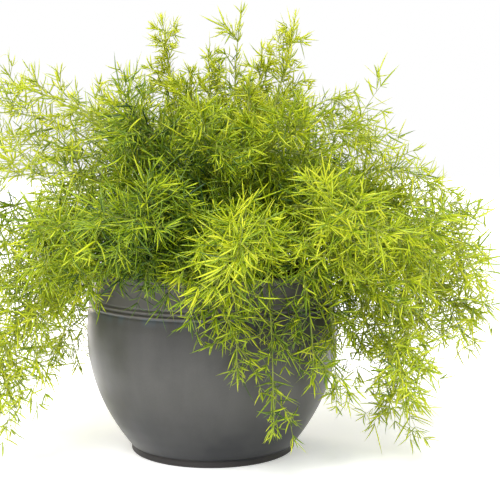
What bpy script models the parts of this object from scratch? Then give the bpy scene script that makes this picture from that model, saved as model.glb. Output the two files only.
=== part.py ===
"""Potted asparagus fern: a turned ceramic pot, potting soil, the root crown and its fronds.

Metres, +Z up.  The origin is the centre of the pot's foot, on the surface that the pot stands on.
+X is the plant's right, -Y is its front.  A frond is one grown piece: a main stem and its branchlets.
"""

import math
import random
from collections import namedtuple

import bmesh
import bpy
import numpy as np
from mathutils import Matrix, Vector

# Pot
POT_HEIGHT = 0.205
FOOT_RADIUS = 0.092
FOOT_HEIGHT = 0.007
FOOT_RING_WIDTH = 0.018
FOOT_RECESS = 0.004
BELLY_RADIUS = 0.140
BELLY_HEIGHT = 0.134
RIDGE_RADIUS = 0.1365
RIDGE_DROP = 0.034          # from the rim down to the ridge's upper bead
RIM_RADIUS = 0.1335
LIP_HEIGHT = 0.006
LIP_PROUD = 0.0008
BEAD_PROUD = 0.0009         # how far the ridge's two beads stand out of it, and its grooves sink in
BEAD_PITCH = 0.0048         # from one bead to the next
BAND_WAIST = 0.0012         # how far the band above the ridge is hollowed
EDGE = 0.0015               # breaks the foot's and the rim's corners
WALL = 0.008
FLOOR = 0.011
FLOOR_FILLET = 0.004
DRAIN_RADIUS = 0.010
BELLY_POWER = 2.1           # how full the belly is towards the foot
POT_SEGMENTS = 36
BELLY_RINGS = 9
HOLLOW_RINGS = 7

# Filling
FIT_GAP = 0.0003            # between pieces that touch
SOIL_BELOW_RIM = 0.027
SOIL_MOUND = 0.004          # how much higher the soil lies at the crown than at the wall
CROWN_RADIUS = 0.050
CROWN_DEPTH = 0.024
CROWN_RISE = 0.007          # how far the crown stands out of the soil at its centre
CROWN_TAPER = 0.8           # width of the crown's foot as a share of its top's

# Fronds
STEM_RADIUS = 0.0015
STEM_TIP_RADIUS = 0.0007
STEM_SIDES = 5
BASE_SPACING = 0.12         # sets how closely the stems stand on the crown, as a share of its radius
BRANCHLETS = 4
FIRST_BRANCHLET = 0.42      # as a share of the stem's length
LAST_BRANCHLET = 0.90
BRANCHLET_LENGTH = 0.085
BRANCHLET_RADIUS = 0.0008
BRANCHLET_TIP_RADIUS = 0.0005
BRANCHLET_LEAN = 50.0       # degrees between a branchlet and its stem
BRANCHLET_DROOP = 0.16      # share of its length that a branchlet's tip sinks
SWAY = 22.0                 # most degrees by which a stem's tip veers off its direction
NODE_HALF_LENGTH = 0.0018   # half the stretch of stem that a branchlet grows from
CLEARANCE = 0.0012          # least air between one stem or branchlet and the next
POT_MARGIN = 0.004          # least air between a stem's centre and the pot
OWN_STEM_REACH = 0.012      # how far from its root a branchlet may be near its own stem
GOLDEN_ANGLE = 137.508
SAMPLES = 24                # points tested along each stretch of a path

Colour = namedtuple("Colour", "rgb roughness")
GLAZE = Colour((0.140, 0.140, 0.136), 0.32)
SOIL = Colour((0.030, 0.021, 0.014), 0.95)
CROWN = Colour((0.115, 0.085, 0.045), 0.80)
FOLIAGE = Colour((0.250, 0.330, 0.050), 0.50)

# A group of fronds of one habit.  Leans are in degrees from straight up.  rise and fall are the lengths of
# the stem's straight pulls at its root and at its tip, as shares of the distance between root and tip.
# branching is the length of the habit's branchlets, as a share of BRANCHLET_LENGTH.
Habit = namedtuple("Habit", "launch_lean tip_lean rise fall branching")
UPRIGHT = Habit(14.0, 9.0, 0.40, 0.35, 0.45)
ARCHING = Habit(10.0, 78.0, 0.48, 0.36, 1.0)
SPREADING = Habit(16.0, 108.0, 0.50, 0.40, 1.0)
TRAILING = Habit(20.0, 158.0, 0.78, 0.46, 1.0)
CASCADING = Habit(26.0, 180.0, 1.30, 0.62, 0.8)

# Where each frond's stem ends: its direction seen from above in degrees (0 right, 90 back, 270 front), its
# reach from the pot's axis as a share of the pot's widest radius, and its height above the soil.
FRONDS = (
    (UPRIGHT, 178, 0.386, 0.298), (UPRIGHT, 340, 0.243, 0.304), (UPRIGHT, 6, 0.664, 0.302),
    (UPRIGHT, 95, 0.357, 0.268), (UPRIGHT, 240, 0.321, 0.240), (UPRIGHT, 40, 0.536, 0.270),
    (UPRIGHT, 150, 0.679, 0.236), (UPRIGHT, 298, 0.607, 0.232), (UPRIGHT, 210, 0.800, 0.224),
    (ARCHING, 12, 1.179, 0.222), (ARCHING, 58, 1.107, 0.220), (ARCHING, 104, 1.143, 0.212),
    (ARCHING, 162, 1.321, 0.216), (ARCHING, 196, 1.500, 0.222), (ARCHING, 238, 1.143, 0.190),
    (ARCHING, 272, 1.071, 0.168), (ARCHING, 305, 1.129, 0.176), (ARCHING, 338, 1.286, 0.190),
    (ARCHING, 80, 1.464, 0.168), (ARCHING, 130, 1.429, 0.180), (ARCHING, 28, 1.536, 0.170),
    (ARCHING, 184, 1.729, 0.234),
    (SPREADING, 0, 1.800, 0.122), (SPREADING, 350, 2.107, 0.050), (SPREADING, 18, 2.071, 0.046),
    (SPREADING, 40, 1.871, 0.104), (SPREADING, 66, 1.929, 0.060), (SPREADING, 92, 1.871, 0.098),
    (SPREADING, 112, 1.964, 0.040), (SPREADING, 140, 1.871, 0.108), (SPREADING, 168, 2.014, 0.150),
    (SPREADING, 180, 2.143, 0.186), (SPREADING, 190, 2.086, 0.078), (SPREADING, 206, 1.943, 0.120),
    (SPREADING, 226, 1.679, 0.078), (SPREADING, 252, 1.686, 0.085), (SPREADING, 276, 1.871, 0.060),
    (SPREADING, 300, 1.843, 0.084), (SPREADING, 322, 1.871, 0.070), (SPREADING, 357, 2.143, -0.026),
    (SPREADING, 214, 1.314, 0.042), (SPREADING, 233, 1.229, 0.058), (SPREADING, 257, 1.200, 0.062),
    (SPREADING, 286, 1.229, 0.058),
    (TRAILING, 346, 1.600, -0.118), (TRAILING, 8, 1.786, -0.050), (TRAILING, 176, 1.871, -0.062),
    (TRAILING, 200, 1.786, -0.095), (TRAILING, 62, 1.607, -0.080), (TRAILING, 116, 1.536, -0.060),
    (TRAILING, 146, 1.679, -0.100), (TRAILING, 328, 1.614, -0.070),
    (CASCADING, 278, 1.214, -0.060), (CASCADING, 291, 1.200, -0.122), (CASCADING, 304, 1.286, -0.072),
    (CASCADING, 316, 1.257, -0.104), (CASCADING, 271, 1.214, -0.012),
)


# ---------------------------------------------------------------- pot, soil and crown

def spaced(low, high, count):
    """Count values from low to high, both included."""
    return [low + (high - low) * step / (count - 1) for step in range(count)]


def ridge_height():
    return POT_HEIGHT - RIDGE_DROP


def soil_edge_height():
    return POT_HEIGHT - SOIL_BELOW_RIM


def pot_radius(height):
    """Outer radius of the body between the foot and the ridge."""
    if height < BELLY_HEIGHT:
        share = (BELLY_HEIGHT - height) / (BELLY_HEIGHT - FOOT_HEIGHT)
        return BELLY_RADIUS - (BELLY_RADIUS - FOOT_RADIUS) * share ** BELLY_POWER
    share = (height - BELLY_HEIGHT) / (ridge_height() - BELLY_HEIGHT)
    return BELLY_RADIUS - (BELLY_RADIUS - RIDGE_RADIUS) * share ** 2


def band_radius(height):
    """Outer radius of the band between the ridge and the lip, hollowed a little."""
    share = (height - ridge_height()) / RIDGE_DROP
    waist = BAND_WAIST * math.sin(math.pi * share)
    return RIDGE_RADIUS + (RIM_RADIUS - RIDGE_RADIUS) * share - waist


def inner_radius(height):
    """Radius of the hollow: the wall has the same thickness all the way up."""
    outer = pot_radius(height) if height < ridge_height() else band_radius(height)
    return outer - WALL


def floor_radius():
    """Radius of the hollow's flat floor, inside its fillet."""
    return inner_radius(FLOOR + FLOOR_FILLET) - FLOOR_FILLET


def hollow_heights():
    """Heights of the rings that the pot's hollow and the soil share, from the floor to the soil's edge."""
    return spaced(FLOOR + FLOOR_FILLET, soil_edge_height(), HOLLOW_RINGS)


def pot_profile():
    """The pot's closed outline, as (radius, height), from the foot up its outside and down its inside."""
    ridge = ridge_height()
    outline = [(FOOT_RADIUS - EDGE, 0.0), (FOOT_RADIUS, EDGE), (FOOT_RADIUS, FOOT_HEIGHT)]
    belly = spaced(FOOT_HEIGHT + BEAD_PITCH, ridge - 1.5 * BEAD_PITCH, BELLY_RINGS)
    outline += [(pot_radius(height), height) for height in belly]
    outline += [(RIDGE_RADIUS + BEAD_PROUD, ridge - BEAD_PITCH), (RIDGE_RADIUS - BEAD_PROUD, ridge - BEAD_PITCH / 2),
                (RIDGE_RADIUS + BEAD_PROUD, ridge), (RIDGE_RADIUS - BEAD_PROUD, ridge + BEAD_PITCH / 2)]
    band = spaced(ridge + 1.5 * BEAD_PITCH, POT_HEIGHT - LIP_HEIGHT - EDGE, 3)
    outline += [(band_radius(height), height) for height in band]
    outline += [(RIM_RADIUS + LIP_PROUD, POT_HEIGHT - LIP_HEIGHT), (RIM_RADIUS, POT_HEIGHT - EDGE),
                (RIM_RADIUS - 2 * EDGE, POT_HEIGHT), (RIM_RADIUS - WALL + EDGE, POT_HEIGHT - EDGE / 2),
                (inner_radius(POT_HEIGHT - 3 * EDGE), POT_HEIGHT - 3 * EDGE)]
    outline += [(inner_radius(height), height) for height in reversed(hollow_heights())]
    outline += [(floor_radius(), FLOOR), (DRAIN_RADIUS, FLOOR), (DRAIN_RADIUS, FOOT_RECESS),
                (FOOT_RADIUS - FOOT_RING_WIDTH - EDGE, FOOT_RECESS), (FOOT_RADIUS - FOOT_RING_WIDTH, 0.0)]
    return outline


def soil_profile():
    """The soil's outline from the axis below, round its edge, to the axis in the crown's seat."""
    edge = soil_edge_height()
    seat = edge + SOIL_MOUND - CROWN_DEPTH
    between = (CROWN_RADIUS + inner_radius(edge)) / 2
    outline = [(0.0, FLOOR + FIT_GAP), (floor_radius() - FIT_GAP, FLOOR + FIT_GAP)]
    outline += [(inner_radius(height) - FIT_GAP, height) for height in hollow_heights()]
    outline += [(between, edge + SOIL_MOUND / 2), (CROWN_RADIUS + FIT_GAP, edge + SOIL_MOUND),
                (CROWN_RADIUS * CROWN_TAPER + FIT_GAP, seat - FIT_GAP), (0.0, seat - FIT_GAP)]
    return outline


def crown_height(radius):
    """Height of the crown's domed top at a distance from the axis."""
    share = min(radius / CROWN_RADIUS, 1.0)
    return soil_edge_height() + SOIL_MOUND + CROWN_RISE * (1.0 - share ** 2)


def crown_profile():
    """The crown's outline from the axis below, over its dome, to the axis at its top."""
    seat = soil_edge_height() + SOIL_MOUND - CROWN_DEPTH
    outline = [(0.0, seat), (CROWN_RADIUS * CROWN_TAPER, seat)]
    outline += [(radius, crown_height(radius)) for radius in spaced(CROWN_RADIUS, CROWN_RADIUS / 5, 5)]
    outline += [(0.0, crown_height(0.0))]
    return outline


def turned(name, outline, segments, colour):
    """Turn an outline about the Z axis.  An outline that starts and ends on the axis is closed there."""
    mesh = bmesh.new()
    on_axis = outline[0][0] == 0.0
    rings = []
    for radius, height in outline:
        if radius == 0.0:
            rings.append([mesh.verts.new((0.0, 0.0, height))] * segments)
            continue
        angles = [2.0 * math.pi * step / segments for step in range(segments)]
        rings.append([mesh.verts.new((radius * math.cos(a), radius * math.sin(a), height)) for a in angles])
    pairs = list(zip(rings, rings[1:]))
    if not on_axis:
        pairs.append((rings[-1], rings[0]))
    for lower, upper in pairs:
        for step in range(segments):
            following = (step + 1) % segments
            corners = [lower[step], lower[following], upper[following], upper[step]]
            mesh.faces.new(list(dict.fromkeys(corners)))
    return add_object(name, mesh, colour)


def add_object(name, mesh, colour):
    """Make a smooth-shaded object with its own material."""
    bmesh.ops.recalc_face_normals(mesh, faces=mesh.faces)
    data = bpy.data.meshes.new(name)
    mesh.to_mesh(data)
    mesh.free()
    data.shade_smooth()
    data.set_sharp_from_angle(angle=math.radians(40.0))
    material = bpy.data.materials.new(name)
    material.use_nodes = True
    shader = material.node_tree.nodes["Principled BSDF"]
    shader.inputs["Base Color"].default_value = (*colour.rgb, 1.0)
    shader.inputs["Roughness"].default_value = colour.roughness
    shader.inputs["Metallic"].default_value = 0.0
    data.materials.append(material)
    piece = bpy.data.objects.new(name, data)
    bpy.context.collection.objects.link(piece)
    return piece


# ---------------------------------------------------------------- how a frond grows

def heading(azimuth, lean):
    """Unit vector at an azimuth in degrees, leaning from straight up by so many degrees."""
    turn = math.radians(azimuth)
    tilt = math.radians(lean)
    return Vector((math.sin(tilt) * math.cos(turn), math.sin(tilt) * math.sin(turn), math.cos(tilt)))


def base_point(index, azimuth):
    """Where a stem stands on the crown: the upright ones in the middle, the trailing ones outside."""
    radius = CROWN_RADIUS * BASE_SPACING * math.sqrt(index + 0.3)
    turn = math.radians(azimuth)
    height = crown_height(max(radius - STEM_RADIUS, 0.0)) + FIT_GAP
    return Vector((radius * math.cos(turn), radius * math.sin(turn), height))


def stem_curve(index, frond, turn):
    """The four control points of a stem's Bezier curve, with the base turned by so many degrees."""
    habit, azimuth, reach, rise = frond
    sway = random.Random(100 + index).uniform(-SWAY, SWAY)
    root = base_point(index, azimuth + turn)
    tip_turn = math.radians(azimuth)
    distance = reach * BELLY_RADIUS
    tip_height = soil_edge_height() + rise
    tip = Vector((distance * math.cos(tip_turn), distance * math.sin(tip_turn), tip_height))
    span = (tip - root).length
    first = root + heading(azimuth + turn, habit.launch_lean) * span * habit.rise
    last = tip - heading(azimuth + sway, habit.tip_lean) * span * habit.fall
    return root, first, last, tip


def on_curve(curve, share):
    """Point and direction on a Bezier curve."""
    root, first, last, tip = curve
    rest = 1.0 - share
    point = root * rest ** 3 + first * 3 * rest ** 2 * share + last * 3 * rest * share ** 2 + tip * share ** 3
    slope = (first - root) * rest ** 2 + (last - first) * 2 * rest * share + (tip - last) * share ** 2
    return point, slope.normalized()


def branchlet_points(start, direction, length):
    """A branchlet's centre line: out from the stem, then bowed down by its own weight."""
    bow = Vector((0.0, 0.0, -BRANCHLET_DROOP * length))
    return [start + direction * length * share + bow * share ** 2 for share in (0.0, 0.5, 1.0)]


def sideways(direction, turn):
    """Unit vector square to a direction, turned about it by so many degrees."""
    level = direction.cross(Vector((0.0, 0.0, 1.0)))
    if level.length < 0.05:
        level = Vector((1.0, 0.0, 0.0)) - direction * direction.x
    return Matrix.Rotation(math.radians(turn), 3, direction) @ level.normalized()


class Space:
    """The stretches of stem and branchlet placed so far, which new ones keep clear of."""

    def __init__(self):
        self.starts = np.empty((0, 3))
        self.ends = np.empty((0, 3))
        self.radii = np.empty(0)
        self.owners = np.empty(0, dtype=int)

    def add(self, points, radius, owner):
        path = np.array([tuple(point) for point in points])
        count = len(path) - 1
        self.starts = np.vstack([self.starts, path[:-1]])
        self.ends = np.vstack([self.ends, path[1:]])
        self.radii = np.append(self.radii, np.full(count, radius))
        self.owners = np.append(self.owners, np.full(count, owner))

    def is_clear(self, points, radius, owner):
        """True where a path has air round it.  Near its start it may touch the stem that it grows from."""
        path = np.array([tuple(point) for point in points])
        samples = np.vstack([np.linspace(a, b, SAMPLES) for a, b in zip(path, path[1:])])
        if meets_pot(samples):
            return False
        if not len(self.radii):
            return True
        along = self.ends - self.starts
        shares = np.einsum("ijk,jk->ij", samples[:, None] - self.starts, along) / (along ** 2).sum(axis=1)
        nearest = self.starts + np.clip(shares, 0.0, 1.0)[..., None] * along
        gaps = np.linalg.norm(samples[:, None] - nearest, axis=2) - self.radii
        near_start = np.linalg.norm(samples - path[0], axis=1) < OWN_STEM_REACH
        gaps[np.ix_(near_start, self.owners == owner)] = np.inf
        return gaps.min() > radius + CLEARANCE


def meets_pot(samples):
    """True where a point is in the pot's wall, in its soil, or nearly on the surface it stands on."""
    spread = np.hypot(samples[:, 0], samples[:, 1])
    height = samples[:, 2]
    above = height > POT_HEIGHT + POT_MARGIN
    outside = (spread > BELLY_RADIUS + POT_MARGIN) & (height > POT_MARGIN)
    in_mouth = (spread < RIM_RADIUS - WALL - POT_MARGIN) & (height > soil_edge_height() + SOIL_MOUND)
    return not (above | outside | in_mouth).all()


def place_stem(space, index, frond):
    """The stem's curve, with its base turned on the crown until the stem is clear of the others."""
    for attempt in range(60):
        turn = 3.0 * ((attempt + 1) // 2) * (-1) ** attempt
        curve = stem_curve(index, frond, turn)
        points = [on_curve(curve, share)[0] for share in spaced(0.0, 1.0, 15)]
        if space.is_clear(points, STEM_RADIUS, index):
            break
    space.add(points, STEM_RADIUS, index)
    return curve


def place_branchlet(space, curve, share, turn, length, owner):
    """A branchlet's centre line, turned about its stem, and shortened if it must be, until it is clear."""
    start, along = on_curve(curve, share)
    lean = math.radians(BRANCHLET_LEAN)
    for shrink in (1.0, 0.8, 0.6, 0.4, 0.2):
        for step in range(12):
            out = sideways(along, turn + 30.0 * step)
            direction = along * math.cos(lean) + out * math.sin(lean)
            points = branchlet_points(start, direction, length * shrink)
            if space.is_clear(points, BRANCHLET_RADIUS, owner):
                space.add(points, BRANCHLET_RADIUS, owner)
                return points
    return points


def place_branchlets(space, curve, habit, index):
    """All of one frond's branchlets, as (share of the stem, centre line), longest first."""
    draw = random.Random(index)
    placed = []
    for number, share in enumerate(spaced(FIRST_BRANCHLET, LAST_BRANCHLET, BRANCHLETS)):
        taper = 1.0 - 0.5 * number / (BRANCHLETS - 1)
        length = BRANCHLET_LENGTH * habit.branching * taper * draw.uniform(0.85, 1.15)
        turn = GOLDEN_ANGLE * number + draw.uniform(0.0, 360.0)
        placed.append((share, place_branchlet(space, curve, share, turn, length, index)))
    return placed


# ---------------------------------------------------------------- a frond's solid

def tube(mesh, points, radii, first_ring):
    """Continue a ring of vertices along a path and close its end.  Returns all the rings."""
    rings = [first_ring]
    sides = len(first_ring)
    for step in range(1, len(points)):
        direction = points[min(step + 1, len(points) - 1)] - points[step - 1]
        direction.normalize()
        spokes = [vertex.co - points[step - 1] for vertex in rings[-1]]
        flat = [(spoke - direction * spoke.dot(direction)).normalized() for spoke in spokes]
        ring = [mesh.verts.new(points[step] + spoke * radii[step]) for spoke in flat]
        for side in range(sides):
            beside = (side + 1) % sides
            mesh.faces.new((rings[-1][side], rings[-1][beside], ring[beside], ring[side]))
        rings.append(ring)
    mesh.faces.new(rings[-1])
    return rings


def frond_solid(name, curve, branchlets):
    """One closed solid: the stem, with each branchlet grown out of a side of the stem."""
    mesh = bmesh.new()
    half_node = NODE_HALF_LENGTH / (curve[3] - curve[0]).length
    shares = spaced(0.0, FIRST_BRANCHLET - 0.08, 4)
    for share, _ in branchlets:
        shares += [share - half_node, share + half_node]
    shares.append(1.0)
    points = [on_curve(curve, share)[0] for share in shares]
    radii = [STEM_RADIUS + (STEM_TIP_RADIUS - STEM_RADIUS) * share for share in shares]
    angles = [2.0 * math.pi * side / STEM_SIDES for side in range(STEM_SIDES)]
    foot = [mesh.verts.new(points[0] + Vector((math.cos(a), math.sin(a), 0.0)) * STEM_RADIUS) for a in angles]
    mesh.faces.new(foot[::-1])
    rings = tube(mesh, points, radii, foot)
    for number, (share, path) in enumerate(branchlets):
        lower, upper = rings[4 + 2 * number:6 + 2 * number]
        grow_branchlet(mesh, lower, upper, path)
    return add_object(name, mesh, FOLIAGE)


def grow_branchlet(mesh, lower, upper, path):
    """Open the side of the stem that faces the branchlet's way, and draw it out along the path."""
    def facing(side):
        beside = (side + 1) % STEM_SIDES
        middle = (lower[side].co + lower[beside].co + upper[side].co + upper[beside].co) / 4
        return (middle - path[0]).normalized().dot((path[1] - path[0]).normalized())

    side = max(range(STEM_SIDES), key=facing)
    beside = (side + 1) % STEM_SIDES
    corners = [lower[side], lower[beside], upper[beside], upper[side]]
    mesh.faces.remove(mesh.faces.get(corners))
    middle_radius = (BRANCHLET_RADIUS + BRANCHLET_TIP_RADIUS) / 2
    tube(mesh, path, [BRANCHLET_RADIUS, middle_radius, BRANCHLET_TIP_RADIUS], corners)


def build_fronds():
    """Every stem is placed first and the branchlets after them, so that stems keep their habit."""
    space = Space()
    curves = [place_stem(space, index, frond) for index, frond in enumerate(FRONDS)]
    for index, curve in enumerate(curves):
        branchlets = place_branchlets(space, curve, FRONDS[index][0], index)
        frond_solid(f"frond_{index + 1:02d}", curve, branchlets)


def main():
    for leftover in list(bpy.data.objects):
        bpy.data.objects.remove(leftover)
    turned("pot", pot_profile(), POT_SEGMENTS, GLAZE)
    turned("soil", soil_profile(), POT_SEGMENTS, SOIL)
    turned("root_crown", crown_profile(), POT_SEGMENTS // 2, CROWN)
    build_fronds()


main()
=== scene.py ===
"""Looks of the potted asparagus fern: leafy fronds, glazed pot, soil, crown, floor, light and camera.

Metres, +Z up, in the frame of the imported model.  Every frond follows the stem and the branchlets of its CAD
solid, and adds the finer twigs and the needle-like leaves.
"""

import math
import random
from collections import namedtuple

import bpy
import numpy as np
from mathutils import Matrix, Vector, noise


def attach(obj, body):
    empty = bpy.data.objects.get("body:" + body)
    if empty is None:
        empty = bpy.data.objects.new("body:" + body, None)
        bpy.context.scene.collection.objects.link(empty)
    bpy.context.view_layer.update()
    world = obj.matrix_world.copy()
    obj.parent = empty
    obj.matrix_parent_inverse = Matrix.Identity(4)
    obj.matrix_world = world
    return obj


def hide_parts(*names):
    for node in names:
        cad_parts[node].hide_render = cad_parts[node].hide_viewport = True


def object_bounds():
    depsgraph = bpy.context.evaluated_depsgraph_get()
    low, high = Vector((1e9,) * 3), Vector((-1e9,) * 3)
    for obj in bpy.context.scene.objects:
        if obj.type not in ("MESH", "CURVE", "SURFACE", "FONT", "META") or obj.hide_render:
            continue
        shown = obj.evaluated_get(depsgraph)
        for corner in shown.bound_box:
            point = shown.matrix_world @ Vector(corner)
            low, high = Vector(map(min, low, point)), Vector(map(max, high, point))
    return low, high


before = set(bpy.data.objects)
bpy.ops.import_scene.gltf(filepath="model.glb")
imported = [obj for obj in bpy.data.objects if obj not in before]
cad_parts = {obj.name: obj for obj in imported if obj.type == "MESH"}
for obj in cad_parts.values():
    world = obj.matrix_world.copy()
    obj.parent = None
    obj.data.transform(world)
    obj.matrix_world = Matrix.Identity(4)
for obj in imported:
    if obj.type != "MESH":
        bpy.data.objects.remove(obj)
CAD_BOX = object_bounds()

# ---------------- sizes, as the CAD has them

# Pot
POT_HEIGHT = 0.205
FOOT_RADIUS = 0.092
FOOT_HEIGHT = 0.007
FOOT_RING_WIDTH = 0.018
FOOT_RECESS = 0.004
BELLY_RADIUS = 0.140
BELLY_HEIGHT = 0.134
RIDGE_RADIUS = 0.1365
RIDGE_DROP = 0.034  # from the rim down to the ridge's upper bead
RIM_RADIUS = 0.1335
LIP_HEIGHT = 0.006
BEAD_PROUD = 0.0009  # how far the ridge's two beads stand out of it, and its grooves sink in
BEAD_PITCH = 0.0048  # from one bead to the next
BAND_WAIST = 0.0012  # how far the band above the ridge is hollowed
WALL = 0.008
FLOOR = 0.011
FLOOR_FILLET = 0.004
DRAIN_RADIUS = 0.010
BELLY_POWER = 2.1  # how full the belly is towards the foot

# Filling
FIT_GAP = 0.0003  # between pieces that touch
SOIL_BELOW_RIM = 0.027
SOIL_MOUND = 0.004  # how much higher the soil lies at the crown than at the wall
CROWN_RADIUS = 0.050
CROWN_DEPTH = 0.024
CROWN_RISE = 0.007  # how far the crown stands out of the soil at its centre
CROWN_TAPER = 0.8  # width of the crown's foot as a share of its top's

# Fronds
STEM_RADIUS = 0.0015
BASE_SPACING = 0.12  # sets how closely the stems stand on the crown, as a share of its radius
BRANCHLETS = 4
FIRST_BRANCHLET = 0.42  # as a share of the stem's length
LAST_BRANCHLET = 0.90
BRANCHLET_LENGTH = 0.085
BRANCHLET_RADIUS = 0.0008
BRANCHLET_LEAN = 50.0  # degrees between a branchlet and its stem
BRANCHLET_DROOP = 0.16  # share of its length that a branchlet's tip sinks
SWAY = 22.0  # most degrees by which a stem's tip veers off its direction
CLEARANCE = 0.0012  # least air between one stem or branchlet and the next
POT_MARGIN = 0.004  # least air between a stem's centre and the pot
OWN_STEM_REACH = 0.012  # how far from its root a branchlet may be near its own stem
GOLDEN_ANGLE = 137.508
SAMPLES = 24  # points tested along each stretch of a path

# A group of fronds of one habit.  Leans are in degrees from straight up.  rise and fall are the lengths of
# the stem's straight pulls at its root and at its tip, as shares of the distance between root and tip.
# branching is the length of the habit's branchlets, as a share of BRANCHLET_LENGTH.
Habit = namedtuple("Habit", "launch_lean tip_lean rise fall branching")
UPRIGHT = Habit(14.0, 9.0, 0.40, 0.35, 0.45)
ARCHING = Habit(10.0, 78.0, 0.48, 0.36, 1.0)
SPREADING = Habit(16.0, 108.0, 0.50, 0.40, 1.0)
TRAILING = Habit(20.0, 158.0, 0.78, 0.46, 1.0)
CASCADING = Habit(26.0, 180.0, 1.30, 0.62, 0.8)

# Where each habit's stems end: their direction seen from above in degrees (0 right, 90 back, 270 front),
# their reach from the pot's axis as a share of its widest radius, and their height above the soil.
STEM_ENDS = {
    UPRIGHT: (
        (178, 0.386, 0.298), (340, 0.243, 0.304), (6, 0.664, 0.302), (95, 0.357, 0.268),
        (240, 0.321, 0.240), (40, 0.536, 0.270), (150, 0.679, 0.236), (298, 0.607, 0.232),
        (210, 0.800, 0.224),
    ),
    ARCHING: (
        (12, 1.179, 0.222), (58, 1.107, 0.220), (104, 1.143, 0.212), (162, 1.321, 0.216),
        (196, 1.500, 0.222), (238, 1.143, 0.190), (272, 1.071, 0.168), (305, 1.129, 0.176),
        (338, 1.286, 0.190), (80, 1.464, 0.168), (130, 1.429, 0.180), (28, 1.536, 0.170),
        (184, 1.729, 0.234),
    ),
    SPREADING: (
        (0, 1.800, 0.122), (350, 2.107, 0.050), (18, 2.071, 0.046), (40, 1.871, 0.104), (66, 1.929, 0.060),
        (92, 1.871, 0.098), (112, 1.964, 0.040), (140, 1.871, 0.108), (168, 2.014, 0.150),
        (180, 2.143, 0.186), (190, 2.086, 0.078), (206, 1.943, 0.120), (226, 1.679, 0.078),
        (252, 1.686, 0.085), (276, 1.871, 0.060), (300, 1.843, 0.084), (322, 1.871, 0.070),
        (357, 2.143, -0.026), (214, 1.314, 0.042), (233, 1.229, 0.058), (257, 1.200, 0.062),
        (286, 1.229, 0.058),
    ),
    TRAILING: (
        (346, 1.600, -0.118), (8, 1.786, -0.050), (176, 1.871, -0.062), (200, 1.786, -0.095),
        (62, 1.607, -0.080), (116, 1.536, -0.060), (146, 1.679, -0.100), (328, 1.614, -0.070),
    ),
    CASCADING: (
        (278, 1.214, -0.060), (291, 1.200, -0.122), (304, 1.286, -0.072), (316, 1.257, -0.104),
        (271, 1.214, -0.012),
    ),
}
FRONDS = [(habit, *end) for habit, ends in STEM_ENDS.items() for end in ends]

# ---------------- sizes of the looks

# Pot and filling
POT_TURNS = 168  # facets round the visible pot
FOOT_ROUND = 0.0022  # radii of its rounded edges
LIP_ROUND = 0.0030
HOLE_ROUND = 0.0012
SOIL_TURNS = 150
SOIL_RINGS = 60
CRUMBS = 900
CRUMB_SIZE = (0.0008, 0.0022)
CROWN_TURNS = 96
CROWN_RINGS = 26

# Twigs
TWIG_LENGTH = (0.034, 0.078)
TWIG_RADIUS = 0.00042
TWIG_LEAN = (34.0, 72.0)  # degrees between a twig and the shoot it grows from
SPRIG_LENGTH = (0.014, 0.034)
BARE_STEM = 0.24  # share of a stem, from its root, that has no needles and no twigs
LAST_TWIG = 0.97  # share of the stem below its last twig
BARE_BRANCHLET = 0.10
BARE_TWIG = 0.14
OVERHANG = 0.021  # how far needles may reach past the CAD's bounding box

# Needles
NEEDLE_LENGTH = 0.0290
NEEDLE_WIDTH = 0.00208
NEEDLE_THICKNESS = 0.45  # as a share of its width
NEEDLE_RINGS = ((0.07, 0.62), (0.38, 1.0), (0.74, 0.88))  # shares of its length, and of its width there
NEEDLE_MARGIN = 0.0012  # least air between a needle and the pot
NODE_SPACING = 0.0116  # between the clusters of needles along a shoot
NEEDLES_PER_NODE = 3
NEEDLE_CHANCE = 0.80  # that each of a node's needles grew
TIP_NEEDLES = 4
TIP_CROWDING = 0.50  # how much closer the clusters stand at a shoot's tip, as a share
TIP_CLOSING = 0.35  # how much less the needles open there
TIP_SHORTENING = 0.38  # how much shorter they are there
LENGTH_SPREAD = (0.62, 1.20)
WIDTH_SPREAD = (0.70, 1.10)
BEND_SPREAD = (0.2, 1.4)
FORWARD_BEND = 0.20  # how far needles bow along their shoot, up and sideways, as shares of their length
UPWARD_BEND = 0.06
SIDE_BEND = 0.30

# Colour of the fronds, from dark green at 0 to yellow at 1: it runs across the colour map
STEM_ROW = 0.94  # the stems' row of the map
NEEDLE_ROWS = (0.04, 0.84)  # from a needle's root to its tip
MIDRIB_AND_HIGHLIGHT_TONE = 0.17  # how much paler a needle's midrib is than its middle: a real midrib with a painted highlight along it
# painted shade: how much darker a needle's two edges are
EDGE_SHADE_TONE = -0.13
TIP_TONE = 0.10  # how much paler needles are at a shoot's tip
PAINTED_DEPTH_SHADE = 0.60  # painted shade: how much darker they are inside the plant, where the outer needles shade them, for each PLANT_REACH of depth
TONE_SPREAD = 0.185  # from needle to needle, as a standard deviation
FROND_TONE_SPREAD = 0.040  # from frond to frond
OLD_TONE = -0.16  # how much darker an old frond is
PLANT_REACH = 0.27  # from the plant's middle to where most fronds end
PLANT_MIDDLE_RISE = 0.06  # of that middle, above the soil
TRANSLUCENCE = 0.20

# Camera, floor and light
CAMERA_DISTANCE = 1.257  # from the pot's axis
CAMERA_HEIGHT = 0.3504
CAMERA_PITCH = 5.787  # degrees down
CAMERA_YAW = 1.913  # degrees, so that the pot stands left of the frame's middle
CAMERA_LENS = 81.3
SENSOR_WIDTH = 36.0
FLOOR_HALF = 8.0
FLOOR_GLOW = 0.38  # the table under the pot is lit from below as well
WORLD_FRONT = 0.34  # how brightly the room lights the plant from its front and its back
WORLD_BACK = 1.0
BANK_FROM = (-0.20, -0.55, 1.0)
BANK_POWER = 4.4
BANK_ANGLE = 32.0  # degrees across
RIM_FROM = (-0.85, 1.25, 0.45)
RIM_AIM = (0.0, 0.0, 0.15)
RIM_SIZE = (0.50, 1.10)
RIM_POWER = 13.0
RIM_COLOUR = (1.0, 0.86, 0.74)


# ---------------- the CAD's outlines

def spaced(low, high, count):
    """Count values from low to high, both included."""
    return [low + (high - low) * step / (count - 1) for step in range(count)]


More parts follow.
